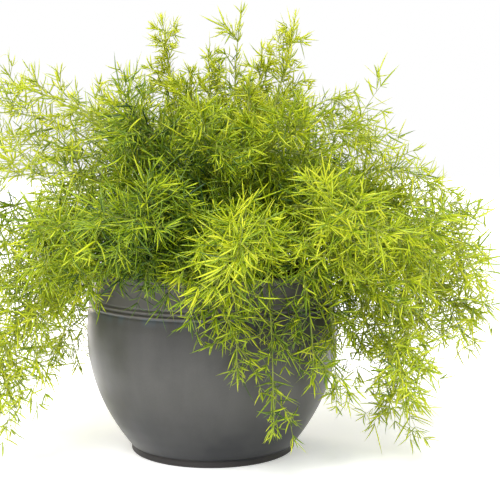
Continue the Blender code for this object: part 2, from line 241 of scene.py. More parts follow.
def ridge_height():
    return POT_HEIGHT - RIDGE_DROP


def soil_edge_height():
    return POT_HEIGHT - SOIL_BELOW_RIM


def pot_radius(height):
    """Outer radius of the body between the foot and the ridge."""
    if height < BELLY_HEIGHT:
        share = (BELLY_HEIGHT - height) / (BELLY_HEIGHT - FOOT_HEIGHT)
        return BELLY_RADIUS - (BELLY_RADIUS - FOOT_RADIUS) * share ** BELLY_POWER
    share = (height - BELLY_HEIGHT) / (ridge_height() - BELLY_HEIGHT)
    return BELLY_RADIUS - (BELLY_RADIUS - RIDGE_RADIUS) * share ** 2


def band_radius(height):
    """Outer radius of the band between the ridge and the lip, hollowed a little."""
    share = (height - ridge_height()) / RIDGE_DROP
    waist = BAND_WAIST * math.sin(math.pi * share)
    return RIDGE_RADIUS + (RIM_RADIUS - RIDGE_RADIUS) * share - waist


def body_radius(height):
    """Outer radius of the plain pot at any height."""
    return pot_radius(max(height, FOOT_HEIGHT)) if height < ridge_height() else band_radius(height)


def inner_radius(height):
    """Radius of the hollow: the wall has the same thickness all the way up."""
    return body_radius(height) - WALL


def floor_radius():
    """Radius of the hollow's flat floor, inside its fillet."""
    return inner_radius(FLOOR + FLOOR_FILLET) - FLOOR_FILLET


def mound_height(radius, wall):
    """Height of the soil at a distance from the axis: it falls from the crown to the wall."""
    return soil_edge_height() + SOIL_MOUND * (1.0 - max(radius - CROWN_RADIUS, 0.0) / (wall - CROWN_RADIUS))


def crown_height(radius):
    """Height of the crown's domed top at a distance from the axis."""
    share = min(radius / CROWN_RADIUS, 1.0)
    return soil_edge_height() + SOIL_MOUND + CROWN_RISE * (1.0 - share ** 2)


# ---------------- how the CAD's fronds grow

def heading(azimuth, lean):
    """Unit vector at an azimuth in degrees, leaning from straight up by so many degrees."""
    turn = math.radians(azimuth)
    tilt = math.radians(lean)
    return Vector((math.sin(tilt) * math.cos(turn), math.sin(tilt) * math.sin(turn), math.cos(tilt)))


def base_point(index, azimuth):
    """Where a stem stands on the crown: the upright ones in the middle, the trailing ones outside."""
    radius = CROWN_RADIUS * BASE_SPACING * math.sqrt(index + 0.3)
    turn = math.radians(azimuth)
    height = crown_height(max(radius - STEM_RADIUS, 0.0)) + FIT_GAP
    return Vector((radius * math.cos(turn), radius * math.sin(turn), height))


def stem_curve(index, frond, turn):
    """The four control points of a stem's Bezier curve, with the base turned by so many degrees."""
    habit, azimuth, reach, rise = frond
    sway = random.Random(100 + index).uniform(-SWAY, SWAY)
    root = base_point(index, azimuth + turn)
    tip_turn = math.radians(azimuth)
    distance = reach * BELLY_RADIUS
    tip_height = soil_edge_height() + rise
    tip = Vector((distance * math.cos(tip_turn), distance * math.sin(tip_turn), tip_height))
    span = (tip - root).length
    first = root + heading(azimuth + turn, habit.launch_lean) * span * habit.rise
    last = tip - heading(azimuth + sway, habit.tip_lean) * span * habit.fall
    return root, first, last, tip


def on_curve(curve, share):
    """Point and direction on a Bezier curve."""
    root, first, last, tip = curve
    rest = 1.0 - share
    point = root * rest ** 3 + first * 3 * rest ** 2 * share + last * 3 * rest * share ** 2 + tip * share ** 3
    slope = (first - root) * rest ** 2 + (last - first) * 2 * rest * share + (tip - last) * share ** 2
    return point, slope.normalized()


def stem_path(curve, count):
    """So many points along a stem."""
    return np.array([tuple(on_curve(curve, share)[0]) for share in spaced(0.0, 1.0, count)])


def bowed_path(start, direction, length, count):
    """So many points along a branchlet or twig: out from its shoot, then bowed down by its own weight."""
    bow = Vector((0.0, 0.0, -BRANCHLET_DROOP * length))
    shares = spaced(0.0, 1.0, count)
    return np.array([tuple(start + direction * length * share + bow * share ** 2) for share in shares])


def sideways(direction, turn):
    """Unit vector square to a direction, turned about it by so many degrees."""
    level = direction.cross(Vector((0.0, 0.0, 1.0)))
    if level.length < 0.05:
        level = Vector((1.0, 0.0, 0.0)) - direction * direction.x
    return Matrix.Rotation(math.radians(turn), 3, direction) @ level.normalized()


class Space:
    """The stretches of stem and branchlet placed so far, which new ones keep clear of."""

    def __init__(self):
        self.starts = np.empty((0, 3))
        self.ends = np.empty((0, 3))
        self.radii = np.empty(0)
        self.owners = np.empty(0, dtype=int)

    def add(self, path, radius, owner):
        count = len(path) - 1
        self.starts = np.vstack([self.starts, path[:-1]])
        self.ends = np.vstack([self.ends, path[1:]])
        self.radii = np.append(self.radii, np.full(count, radius))
        self.owners = np.append(self.owners, np.full(count, owner))

    def is_clear(self, path, radius, owner):
        """True where a path has air round it.  Near its start it may touch the stem that it grows from."""
        samples = np.vstack([np.linspace(a, b, SAMPLES) for a, b in zip(path, path[1:])])
        if meets_pot(samples):
            return False
        if not len(self.radii):
            return True
        along = self.ends - self.starts
        shares = np.einsum("ijk,jk->ij", samples[:, None] - self.starts, along) / (along ** 2).sum(axis=1)
        nearest = self.starts + np.clip(shares, 0.0, 1.0)[..., None] * along
        gaps = np.linalg.norm(samples[:, None] - nearest, axis=2) - self.radii
        near_start = np.linalg.norm(samples - path[0], axis=1) < OWN_STEM_REACH
        gaps[np.ix_(near_start, self.owners == owner)] = np.inf
        return gaps.min() > radius + CLEARANCE


def meets_pot(samples):
    """True where a point is in the pot's wall, in its soil, or nearly on the surface it stands on."""
    spread = np.hypot(samples[:, 0], samples[:, 1])
    height = samples[:, 2]
    above = height > POT_HEIGHT + POT_MARGIN
    outside = (spread > BELLY_RADIUS + POT_MARGIN) & (height > POT_MARGIN)
    in_mouth = (spread < RIM_RADIUS - WALL - POT_MARGIN) & (height > soil_edge_height() + SOIL_MOUND)
    return not (above | outside | in_mouth).all()


def place_stem(space, index, frond):
    """The stem's curve, with its base turned on the crown until the stem is clear of the others."""
    for attempt in range(60):
        turn = 3.0 * ((attempt + 1) // 2) * (-1) ** attempt
        curve = stem_curve(index, frond, turn)
        path = stem_path(curve, 15)
        if space.is_clear(path, STEM_RADIUS, index):
            break
    space.add(path, STEM_RADIUS, index)
    return curve


def place_branchlet(space, curve, share, turn, length, owner):
    """The start, direction and length of one of the CAD's branchlets."""
    start, along = on_curve(curve, share)
    lean = math.radians(BRANCHLET_LEAN)
    for shrink in (1.0, 0.8, 0.6, 0.4, 0.2):
        for step in range(12):
            out = sideways(along, turn + 30.0 * step)
            direction = along * math.cos(lean) + out * math.sin(lean)
            path = bowed_path(start, direction, length * shrink, 3)
            if space.is_clear(path, BRANCHLET_RADIUS, owner):
                space.add(path, BRANCHLET_RADIUS, owner)
                return start, direction, length * shrink
    return start, direction, length * shrink


def place_branchlets(space, curve, habit, index):
    """The CAD's branchlets of one stem, turned round it by the golden angle and shorter towards its tip."""
    draw = random.Random(index)
    placed = []
    for number, share in enumerate(spaced(FIRST_BRANCHLET, LAST_BRANCHLET, BRANCHLETS)):
        taper = 1.0 - 0.5 * number / (BRANCHLETS - 1)
        length = BRANCHLET_LENGTH * habit.branching * taper * draw.uniform(0.85, 1.15)
        turn = GOLDEN_ANGLE * number + draw.uniform(0.0, 360.0)
        placed.append(place_branchlet(space, curve, share, turn, length, index))
    return placed


# ---------------- meshes from arrays

def link(name, data, *materials):
    """An object in the scene from its mesh, light or camera, with a mesh's materials."""
    for material in materials:
        data.materials.append(material)
    piece = bpy.data.objects.new(name, data)
    bpy.context.collection.objects.link(piece)
    return piece


class Build:
    """Collects points, faces of three or four corners, and each point's place on the colour map."""

    def __init__(self):
        self.points = []
        self.faces = []
        self.maps = []
        self.count = 0

    def add(self, points, faces, maps):
        """points (n, 3); faces (m, 4), where a triangle's last corner is -1; maps (n, 2)."""
        self.points.append(points)
        self.faces.append(np.where(faces < 0, -1, faces + self.count))
        self.maps.append(maps)
        self.count += len(points)

    def mesh(self, name):
        """One smooth mesh of all that was added, with its colour map."""
        points = np.vstack(self.points)
        faces = np.vstack(self.faces)
        maps = np.vstack(self.maps)
        sizes = (faces >= 0).sum(axis=1)
        corners = faces[faces >= 0]
        mesh = bpy.data.meshes.new(name)
        mesh.vertices.add(len(points))
        mesh.vertices.foreach_set("co", points.astype(np.float32).ravel())
        mesh.loops.add(len(corners))
        mesh.loops.foreach_set("vertex_index", corners.astype(np.int32))
        mesh.polygons.add(len(faces))
        starts = np.concatenate([[0], np.cumsum(sizes)[:-1]])
        mesh.polygons.foreach_set("loop_start", starts.astype(np.int32))
        layer = mesh.uv_layers.new(name="OFBake")
        layer.data.foreach_set("uv", maps[corners].astype(np.float32).ravel())
        mesh.update(calc_edges=True)
        mesh.validate()
        mesh.shade_smooth()
        return mesh


def unit(vectors):
    return vectors / np.linalg.norm(vectors, axis=-1, keepdims=True)


def shoot_frames(path):
    """Directions along a path, and two unit vectors square to each."""
    along = unit(np.gradient(path, axis=0))
    helper = np.array([0.31, 0.17, 0.93]) if abs(along[0, 2]) < 0.8 else np.array([0.96, 0.22, 0.11])
    first = unit(np.cross(along, helper))
    return along, first, np.cross(along, first)


def add_shoot(build, path, radii, sides, tones):
    """A tapered round shoot with closed ends."""
    along, first, second = shoot_frames(path)
    angles = np.arange(sides) * 2.0 * np.pi / sides
    spokes = first[:, None] * np.cos(angles)[None, :, None] + second[:, None] * np.sin(angles)[None, :, None]
    rings = path[:, None] + spokes * radii[:, None, None]
    points = np.vstack([rings.reshape(-1, 3), path[:1], path[-1:] + along[-1:] * radii[-1]])
    faces = []
    side = np.arange(sides)
    beside = (side + 1) % sides
    for step in range(len(path) - 1):
        low = step * sides
        faces.append(np.column_stack([low + side, low + beside, low + sides + beside, low + sides + side]))
    foot = len(path) * sides
    last = foot - sides
    none = np.full(sides, -1)
    faces.append(np.column_stack([np.full(sides, foot), beside, side, none]))
    faces.append(np.column_stack([np.full(sides, foot + 1), last + side, last + beside, none]))
    shade = np.concatenate([np.repeat(tones, sides), tones[:1], tones[-1:]])
    maps = np.column_stack([np.clip(shade, 0.01, 0.99), np.full(len(points), STEM_ROW)])
    build.add(points, np.vstack(faces), maps)


def needle_faces():
    """Faces of a needle: a point, rings of four corners (ridge up, edge, ridge down, edge) and a point."""
    faces = []
    last = 1 + 4 * (len(NEEDLE_RINGS) - 1)
    for side in range(4):
        beside = (side + 1) % 4
        faces.append((0, 1 + beside, 1 + side, -1))
        faces.append((last + side, last + beside, last + 4, -1))
        for low in range(1, last, 4):
            faces.append((low + side, low + beside, low + 4 + beside, low + 4 + side))
    return np.array(faces)


NEEDLE_FACES = needle_faces()


def add_needles(build, bases, directions, bends, flats, lengths, widths, tones):
    """Curved, pointed, flattened needles.  bends is how far the tips bow off the straight, as vectors."""
    sides = unit(np.cross(directions, flats))
    ups = np.cross(sides, directions)
    spots = [bases]
    shares = [0.0]
    for share, swell in NEEDLE_RINGS:
        middle = bases + directions * (lengths * share)[:, None] + bends * share ** 2
        half = (widths * swell / 2)[:, None]
        thick = half * NEEDLE_THICKNESS
        spots += [middle + ups * thick, middle + sides * half, middle - ups * thick, middle - sides * half]
        shares += [share] * 4
    spots.append(bases + directions * lengths[:, None] + bends)
    shares.append(1.0)
    points = np.stack(spots, axis=1)
    # the ridges are paler as midrib and painted highlight, and the edges darker as painted shade
    relief = np.array([0.0] + [MIDRIB_AND_HIGHLIGHT_TONE, EDGE_SHADE_TONE] * 2 * len(NEEDLE_RINGS) + [0.0])
    across = np.clip(tones[:, None] + relief, 0.004, 0.996)
    low, high = NEEDLE_ROWS
    along = np.broadcast_to(low + (high - low) * np.array(shares), across.shape)
    starts = np.arange(len(bases))[:, None, None] * points.shape[1]
    faces = np.where(NEEDLE_FACES < 0, -1, NEEDLE_FACES + starts)
    maps = np.stack([across, along], axis=2)
    build.add(points.reshape(-1, 3), faces.reshape(-1, 4), maps.reshape(-1, 2))


# ---------------- leafy fronds

PLANT_MIDDLE = np.array([0.0, 0.0, soil_edge_height() + PLANT_MIDDLE_RISE])

# What all the shoots of a frond share: the length, tone, spacing and range of angles of their needles.
Leafing = namedtuple("Leafing", "length tone spacing opening")


def leafy(build, path, draw, first_share, leafing):
    """Clothe a shoot in clusters of needles that close up into a brush at its tip."""
    run = np.concatenate([[0.0], np.cumsum(np.linalg.norm(np.diff(path, axis=0), axis=1))])
    total = run[-1]
    spots = []
    at = first_share * total
    while at < total:
        spots.append(at)
        at += leafing.spacing * (1.0 - TIP_CROWDING * (at / total) ** 3) * draw.uniform(0.7, 1.3)
    spots = np.array(spots + [total])
    per_node = np.full(len(spots), NEEDLES_PER_NODE)
    per_node[-1] = TIP_NEEDLES
    node = np.repeat(np.arange(len(spots)), per_node)
    count = len(node)
    step = np.concatenate([np.arange(number) / number for number in per_node])

    def at_spots(values):
        return np.column_stack([np.interp(spots, run, values[:, axis]) for axis in range(3)])[node]

    base, (way, one, two) = at_spots(path), (unit(at_spots(part)) for part in shoot_frames(path))
    share = (spots / total)[node]
    turn = np.radians(GOLDEN_ANGLE * node + 360.0 * step) + draw.uniform(-0.6, 0.6, count)
    opening = np.radians(draw.uniform(*leafing.opening, count)) * (1.0 - TIP_CLOSING * share ** 6)
    radial = one * np.cos(turn)[:, None] + two * np.sin(turn)[:, None]
    direction = unit(way * np.cos(opening)[:, None] + radial * np.sin(opening)[:, None])
    size = leafing.length * (1.0 - TIP_SHORTENING * share ** 4) * draw.uniform(*LENGTH_SPREAD, count)
    lift = way * FORWARD_BEND + np.array([0.0, 0.0, UPWARD_BEND]) + draw.normal(0.0, SIDE_BEND, (count, 3))
    bend = lift * (size * draw.uniform(*BEND_SPREAD, count))[:, None]
    flat = unit(radial + way * draw.uniform(-0.8, 0.8, count)[:, None] + draw.normal(0.0, 0.4, (count, 3)))
    width = NEEDLE_WIDTH * draw.uniform(*WIDTH_SPREAD, count) * (0.70 + 0.30 * size / NEEDLE_LENGTH)
    depth = np.linalg.norm(base - PLANT_MIDDLE, axis=1) / PLANT_REACH
    # painted shade: needles deeper inside the plant are darker; they are also paler at a shoot's tip
    shade = leafing.tone + PAINTED_DEPTH_SHADE * np.clip(depth - 0.75, -0.60, 0.10) + TIP_TONE * share ** 2
    shade += draw.normal(0.0, TONE_SPREAD, count)
    keep = draw.random(count) < np.where(share < 1.0, NEEDLE_CHANCE, 1.0)
    for reach in (0.3, 0.65, 1.0):
        keep &= ~is_barred(base + direction * (size * reach)[:, None] + bend * reach ** 2)
    if keep.any():
        add_needles(build, *(values[keep] for values in (base, direction, bend, flat, size, width, shade)))


WALL_HEIGHTS = np.linspace(0.0, POT_HEIGHT, 80)
WALL_RADII = np.array([body_radius(height) for height in WALL_HEIGHTS])


def in_pot(points):
    """True for each point that is in the pot's wall, in the soil or under the floor."""
    spread = np.hypot(points[:, 0], points[:, 1])
    height = points[:, 2]
    wall = np.interp(height, WALL_HEIGHTS, WALL_RADII)
    hollow = (spread < wall - WALL - NEEDLE_MARGIN) & (height > soil_edge_height() + SOIL_MOUND)
    body = (height < POT_HEIGHT + NEEDLE_MARGIN) & (spread < wall + NEEDLE_MARGIN) & ~hollow
    return body | (height < NEEDLE_MARGIN)


def is_barred(points):
    """True for each point where a needle has no room, or reaches too far out."""
    low, high = np.array(CAD_BOX[0]) - OVERHANG, np.array(CAD_BOX[1]) + OVERHANG
    return in_pot(points) | (points < low).any(axis=1) | (points > high).any(axis=1)


def side_shoot(build, draw, start, along, length, radius, leafing, sprigs):
    """A twig at a lively angle to the shoot it grows from, with sprigs of its own."""
    out = sideways(along, draw.uniform(0.0, 360.0))
    lean = math.radians(draw.uniform(*TWIG_LEAN))
    twig = bowed_path(start, along * math.cos(lean) + out * math.sin(lean), length, 7)
    if is_barred(twig[1:]).any():
        return
    tones = np.full(len(twig), leafing.tone + 0.05)
    add_shoot(build, twig, radius * np.linspace(1.0, 0.6, len(twig)), 4, tones)
    leafy(build, twig, draw, BARE_TWIG, leafing)
    add_sprigs(build, draw, twig, radius * 0.8, leafing, sprigs)


def add_sprigs(build, draw, twig, radius, leafing, count):
    """Short side shoots spread along a twig, shorter on a short one."""
    span = np.linalg.norm(twig[-1] - twig[0])
    size = min(1.0, 1.6 * span / TWIG_LENGTH[1]) * leafing.length / NEEDLE_LENGTH
    for number in range(count):
        at = int((number + draw.uniform(0.5, 1.1)) / (count + 0.2) * (len(twig) - 1))
        way = Vector(unit(twig[at + 1] - twig[at]))
        length = draw.uniform(*SPRIG_LENGTH) * size
        side_shoot(build, draw, Vector(twig[at]), way, length, radius, leafing, 0)


# How a frond is clothed: its tone, the length of its needles as a share of NEEDLE_LENGTH, the spacing of its
# needles as a share of NODE_SPACING, its twigs and each twig's sprigs, the length of the twigs as a share of
# TWIG_LENGTH, how much shorter the twigs are at the tip than at the root, and the range of angles in degrees
# at which the needles stand off their shoot.
Clothing = namedtuple("Clothing", "tone needles spacing twigs sprigs reach taper opening")
CLOSE = (24.0, 66.0)
OPEN = (38.0, 102.0)
CLOTHING = {
    UPRIGHT: Clothing(0.92, 0.54, 0.62, 30, 2, 0.92, 1.02, CLOSE),
    ARCHING: Clothing(0.65, 0.90, 0.90, 14, 3, 0.95, 0.65, OPEN),
    SPREADING: Clothing(0.62, 1.00, 1.00, 14, 3, 1.00, 0.55, OPEN),
    TRAILING: Clothing(0.70, 0.88, 0.95, 16, 3, 0.95, 0.50, OPEN),
    CASCADING: Clothing(0.58, 0.76, 1.40, 10, 2, 0.70, 0.90, OPEN),
}
SHORT = Clothing(0.62, 0.95, 0.95, 11, 2, 0.70, 0.65, OPEN)
WISPY = Clothing(0.84, 0.66, 1.15, 8, 1, 0.80, 0.60, CLOSE)
AIRY = Clothing(0.80, 0.84, 1.25, 10, 2, 0.95, 0.55, OPEN)
FULL = Clothing(0.72, 0.92, 0.92, 24, 3, 1.00, 0.15, OPEN)

# The fronds, by number, that are clothed unlike the rest of their habit, and the old and darker ones.
SPECIAL_CLOTHING = {
    **dict.fromkeys((41, 42, 43, 44, 57), SHORT),
    **dict.fromkeys((2, 13, 14, 22), WISPY),
    **dict.fromkeys((7, 9, 10, 18, 21, 23, 30, 31, 32, 34), AIRY),
    **dict.fromkeys((24, 25, 40, 46, 47, 48, 52), FULL),
}
OLD_FRONDS = (15, 29, 35, 36, 42, 43)


def frond_looks(index, frond, curve, branchlets, material):
    """The visible frond: its stem, branchlets, twigs and sprigs, and their needles."""
    draw = np.random.default_rng(500 + index)
    number = index + 1
    dress = SPECIAL_CLOTHING.get(number, CLOTHING[frond[0]])
    tone = dress.tone + draw.normal(0.0, FROND_TONE_SPREAD) + (OLD_TONE if number in OLD_FRONDS else 0.0)
    leafing = Leafing(NEEDLE_LENGTH * dress.needles, tone, NODE_SPACING * dress.spacing, dress.opening)
    build = Build()
    path = stem_path(curve, 33)
    greening = np.clip(np.linspace(-0.1, 1.3, len(path)), 0.0, tone)
    add_shoot(build, path, STEM_RADIUS * np.linspace(1.0, 0.30, len(path)), 7, greening)
    leafy(build, path, draw, BARE_STEM, leafing)
    for start, direction, reach in branchlets:
        twig = bowed_path(start, direction, reach, 9)
        radii = BRANCHLET_RADIUS * np.linspace(0.85, 0.40, len(twig))
        add_shoot(build, twig, radii, 5, np.full(len(twig), tone))
        leafy(build, twig, draw, BARE_BRANCHLET, leafing)
        add_sprigs(build, draw, twig, TWIG_RADIUS, leafing, 2 * dress.sprigs)
    for step in range(dress.twigs):
        share = BARE_STEM + (LAST_TWIG - BARE_STEM) * (step + draw.uniform(0.0, 1.0)) / dress.twigs
        start, along = on_curve(curve, share)
        reach = draw.uniform(*TWIG_LENGTH) * (1.25 - dress.taper * share) * dress.reach
        side_shoot(build, draw, start, along, reach, TWIG_RADIUS, leafing, dress.sprigs)
    name, node = f"foliage_{number:02d}", f"frond_{number:02d}"
    piece = link(name, build.mesh(name), material)
    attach(piece, "root")
    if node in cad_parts:
        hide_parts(node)


# ---------------- the pot

def bump(offset, width):
    return math.exp(-(offset / width) ** 2)


def outside_radius(height):
    """The pot's outer radius with its foot groove, its two beads and the groove under its lip."""
    ridge = ridge_height()
    beads = bump(height - ridge, 0.30 * BEAD_PITCH) + bump(height - ridge + BEAD_PITCH, 0.30 * BEAD_PITCH)
    grooves = bump(height - ridge + BEAD_PITCH / 2, 0.20 * BEAD_PITCH)
    grooves += 0.5 * bump(height - ridge - BEAD_PITCH / 2, 0.24 * BEAD_PITCH)
    grooves += 0.6 * bump(height - ridge + 1.5 * BEAD_PITCH, 0.30 * BEAD_PITCH)
    lip_groove = bump(height - POT_HEIGHT + LIP_HEIGHT + 0.0012, 0.0010)
    foot_groove = bump(height - FOOT_HEIGHT - 0.0006, 0.0008)
    relief = BEAD_PROUD * (beads - grooves) - 0.0006 * lip_groove - 0.0008 * foot_groove
    return body_radius(height) + relief


def arc(radius, height, size, start, end, count):
    """Points of a round edge about (radius, height), from one angle in degrees to another."""
    angles = [math.radians(angle) for angle in spaced(start, end, count)]
    return [(radius + size * math.cos(angle), height + size * math.sin(angle)) for angle in angles]


def pot_outlines():
    """The glazed outline from the foot over the lip, and the bare one down the inside and the underside.

    Its points lie closest together at the foot, along the ridge and under the lip.
    """
    ridge = ridge_height()
    under_lip = POT_HEIGHT - LIP_HEIGHT
    lip = POT_HEIGHT - LIP_ROUND
    glazed = arc(FOOT_RADIUS - FOOT_ROUND, FOOT_ROUND, FOOT_ROUND, -90.0, 0.0, 6)
    heights = spaced(0.0032, 0.0105, 14) + spaced(0.0120, ridge - 0.0125, 52)
    heights += spaced(ridge - 0.0115, ridge + 0.0065, 46) + spaced(ridge + 0.0085, under_lip - 0.0045, 9)
    heights += spaced(under_lip - 0.0035, lip - 0.0006, 14)
    glazed += [(outside_radius(height), height) for height in heights]
    glazed += arc(outside_radius(lip) - LIP_ROUND, lip, LIP_ROUND, 4.0, 90.0, 10)
    mouth = inner_radius(POT_HEIGHT - 0.004) + LIP_ROUND
    glazed += arc(mouth, lip, LIP_ROUND, 96.0, 150.0, 6)
    bare = arc(mouth, lip, LIP_ROUND, 160.0, 180.0, 3)
    depths = spaced(POT_HEIGHT - 0.006, FLOOR + FLOOR_FILLET, 24)
    bare += [(inner_radius(height), height) for height in depths]
    bare += arc(floor_radius() - 0.001, FLOOR + FLOOR_FILLET, FLOOR_FILLET, -20.0, -90.0, 5)
    bare += arc(DRAIN_RADIUS + HOLE_ROUND, FLOOR - HOLE_ROUND, HOLE_ROUND, 90.0, 180.0, 4)
    bare += arc(DRAIN_RADIUS + HOLE_ROUND, FOOT_RECESS + HOLE_ROUND, HOLE_ROUND, 180.0, 270.0, 4)
    inside = FOOT_RADIUS - FOOT_RING_WIDTH
    bare += [(inside - 0.004, FOOT_RECESS), (inside - HOLE_ROUND, FOOT_RECESS - HOLE_ROUND)]
    bare += arc(inside + HOLE_ROUND, HOLE_ROUND, HOLE_ROUND, 190.0, 270.0, 4)
    return glazed, bare


def pot_looks(glaze, clay):
    glazed, bare = pot_outlines()
    outline = np.array(glazed + bare)
    angles = np.arange(POT_TURNS) * 2.0 * np.pi / POT_TURNS
    radii, heights = outline[:, 0][:, None], outline[:, 1][:, None]
    points = np.stack([radii * np.cos(angles), radii * np.sin(angles), heights + 0.0 * angles], axis=2)
    ring = np.arange(len(outline))[:, None] * POT_TURNS
    following = np.roll(ring, -1, axis=0)
    step = np.arange(POT_TURNS)[None]
    beside = (step + 1) % POT_TURNS
    faces = np.stack([ring + step, ring + beside, following + beside, following + step], axis=2)
    mesh = bpy.data.meshes.new("pot_looks")
    mesh.from_pydata(points.reshape(-1, 3).tolist(), [], faces.reshape(-1, 4).tolist())
    mesh.shade_smooth()
    is_clay = np.repeat(np.arange(len(outline)) >= len(glazed) - 1, POT_TURNS)
    mesh.polygons.foreach_set("material_index", is_clay.astype(np.int32))
    piece = link("glazed_pot", mesh, glaze, clay)
    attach(piece, "root")
    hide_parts("pot")


# ---------------- soil and crown

def ruffle(point, size, depth):
    """Height of rough ground at a point, in metres."""
    return depth * noise.noise(Vector(point) / size)


def turned_mesh(name, outline, turns, first_rough, lift):
    """A closed turned body, whose outline gives radii and heights from the bottom to the top.

    From the ring with the number first_rough on, lift says how far each point is raised.
    """
    points = [(0.0, 0.0, outline[0][1])]
    for number, (radius, height) in enumerate(outline):
        for angle in np.arange(turns) * 2.0 * np.pi / turns:
            x, y = radius * math.cos(angle), radius * math.sin(angle)
            points.append((x, y, height + (lift(x, y) if number >= first_rough else 0.0)))
    points.append((0.0, 0.0, outline[-1][1]))
    faces = []
    last = 1 + (len(outline) - 1) * turns
    for step in range(turns):
        beside = (step + 1) % turns
        faces.append((0, 1 + beside, 1 + step))
        for low in range(1, last, turns):
            faces.append((low + step, low + beside, low + turns + beside, low + turns + step))
        faces.append((last + step, last + beside, last + turns))
    mesh = bpy.data.meshes.new(name)
    mesh.from_pydata(points, [], faces)
    mesh.shade_smooth()
    return mesh


def soil_looks(material):
    """The soil: a rough top inside the pot's wall, closed down its side and along the floor."""
    edge = soil_edge_height()
    wall = inner_radius(edge) - FIT_GAP
    outline = [(floor_radius() - FIT_GAP, FLOOR + FIT_GAP)]
    side = spaced(FLOOR + FLOOR_FILLET, edge - 0.003, 8)
    outline += [(inner_radius(height) - FIT_GAP, height) for height in side]
    outline += [(wall, edge - 0.001)]
    top_start = len(outline)
    for radius in spaced(wall - 0.0015, 0.003, SOIL_RINGS):
        under_crown = 0.004 if radius < CROWN_RADIUS - 0.002 else 0.0
        outline.append((radius, mound_height(radius, wall) - under_crown))

    def lift(x, y):
        rough = ruffle((x, y, 0.0), 0.012, 0.0022) + ruffle((x, y, 0.3), 0.0042, 0.0016)
        return rough * min(1.0, (wall - math.hypot(x, y)) / 0.004)

    piece = link("soil_bed", turned_mesh("soil_bed", outline, SOIL_TURNS, top_start, lift), material)
    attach(piece, "root")
    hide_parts("soil")


def crumb_form():
    """Corners and sides of a regular body with twenty sides, as the form of a crumb."""
    golden = (1.0 + math.sqrt(5.0)) / 2.0
    corners = [Vector(corner).normalized() for corner in (
        (-1, golden, 0), (1, golden, 0), (-1, -golden, 0), (1, -golden, 0),
        (0, -1, golden), (0, 1, golden), (0, -1, -golden), (0, 1, -golden),
        (golden, 0, -1), (golden, 0, 1), (-golden, 0, -1), (-golden, 0, 1))]
    sides = (
        (0, 11, 5), (0, 5, 1), (0, 1, 7), (0, 7, 10), (0, 10, 11), (1, 5, 9), (5, 11, 4), (11, 10, 2),
        (10, 7, 6), (7, 1, 8), (3, 9, 4), (3, 4, 2), (3, 2, 6), (3, 6, 8), (3, 8, 9), (4, 9, 5),
        (2, 4, 11), (6, 2, 10), (8, 6, 7), (9, 8, 1))
    return corners, sides


def crumbs_looks(material):
    """Loose crumbs and fibres of bark that lie on the soil."""
    draw = random.Random(77)
    wall = inner_radius(soil_edge_height()) - 0.004
    corners, sides = crumb_form()
    points, faces = [], []
    for _ in range(CRUMBS):
        radius = math.sqrt(draw.uniform(CROWN_RADIUS ** 2, (wall - 0.003) ** 2))
        turn = draw.uniform(0.0, 2.0 * math.pi)
        size = draw.uniform(*CRUMB_SIZE) * (1.9 if draw.random() < 0.12 else 1.0)
        shape = Vector((size * draw.uniform(0.8, 1.9), size, size * draw.uniform(0.5, 0.9)))
        height = mound_height(radius, wall) + 0.6 * shape.z
        middle = Vector((radius * math.cos(turn), radius * math.sin(turn), height))
        spin = Matrix.Rotation(draw.uniform(0.0, 6.3), 3, "Z")
        spin = spin @ Matrix.Rotation(draw.uniform(-0.5, 0.5), 3, "X")
        first = len(points)
        for corner in corners:
            points.append(tuple(middle + spin @ (corner * shape * draw.uniform(0.75, 1.2))))
        faces += [tuple(first + corner for corner in side) for side in sides]
    mesh = bpy.data.meshes.new("soil_crumbs")
    mesh.from_pydata(points, [], faces)
    mesh.shade_flat()
    piece = link("soil_crumbs", mesh, material)
    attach(piece, "root")


def crown_looks(material):
    """The woody crown, rough all over its top."""
    seat = soil_edge_height() + SOIL_MOUND - CROWN_DEPTH
    outline = [(CROWN_RADIUS * CROWN_TAPER * 0.9, seat), (CROWN_RADIUS * CROWN_TAPER, seat + 0.002)]
    radii = spaced(CROWN_RADIUS - 0.0005, 0.002, CROWN_RINGS)
    outline += [(radius, crown_height(radius)) for radius in radii]

    def lift(x, y):
        return ruffle((x, y, 0.9), 0.0085, 0.0022) + ruffle((x, y, 0.5), 0.0022, 0.0009) - 0.0006

    piece = link("crown_bark", turned_mesh("crown_bark", outline, CROWN_TURNS, 3, lift), material)
    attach(piece, "root")
    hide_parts("root_crown")


# ---------------- materials

